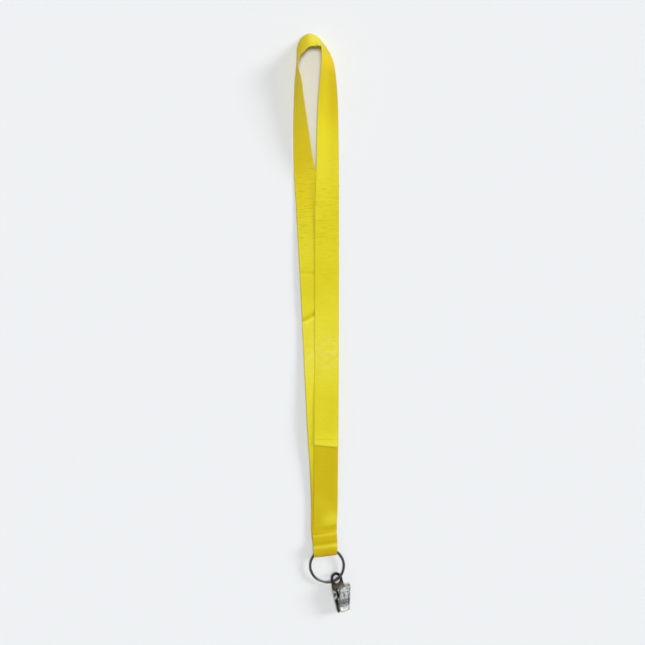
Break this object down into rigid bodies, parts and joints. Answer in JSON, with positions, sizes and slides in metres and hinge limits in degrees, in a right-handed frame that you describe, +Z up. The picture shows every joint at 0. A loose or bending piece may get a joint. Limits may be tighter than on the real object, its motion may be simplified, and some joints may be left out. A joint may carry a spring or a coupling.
{
  "type": "lanyard badge holder",
  "caption": "Flat neck ribbon looped and sewn round a split ring that carries a sprung bulldog clip for a badge.",
  "frame": {"origin": "centre of the bounding box on the surface the lanyard lies on", "axes": "+Y along the strap towards the neck loop, +Z up from the surface it lies on, +X across the strap, to the right with the clip nearest the viewer"},
  "size_m": [0.0478, 0.4796, 0.0202],
  "materials": {
    "satin_ribbon": "fine woven satin",
    "sewing_thread": "matte thread",
    "ring_wire": "dark nickel, worn",
    "dark_nickel_sheet": "nickel plated sheet",
    "bright_nickel_sheet": "bright nickel, dimpled",
    "pin_steel": "drawn steel",
    "spring_wire": "drawn wire"
  },
  "bodies": {
    "strap": {"ribbon": "satin_ribbon", "ring_seam_stitching": "sewing_thread", "end_seam_stitching": "sewing_thread"},
    "ring": {"split_ring": "ring_wire"},
    "clip": {"back_jaw": "dark_nickel_sheet", "hinge_pin": "pin_steel", "torsion_spring": "spring_wire"},
    "lever": {"front_jaw": "bright_nickel_sheet"}
  },
  "joints": [
    {"name": "ring_swing", "type": "hinge", "parent": "strap", "child": "ring", "pos_m": [0.0036, -0.19009, 0.0048], "axis": [-0.9986, -0.0523, 0], "range_deg": [0, 100]},
    {"name": "clip_swing", "type": "hinge", "parent": "ring", "child": "clip", "pos_m": [0.0122, -0.21323, 0.00369], "axis": [-0.8186, -0.5738, -0.025], "range_deg": [0, 60]},
    {"name": "jaw_open", "type": "hinge", "parent": "clip", "child": "lever", "pos_m": [0.01606, -0.22385, 0.00705], "axis": [-0.8093, -0.1358, 0.5714], "range_deg": [0, 30], "stiffness_Nm_per_rad": 0.05, "springref_deg": -28.65, "deforming": ["torsion_spring"]}
  ]
}
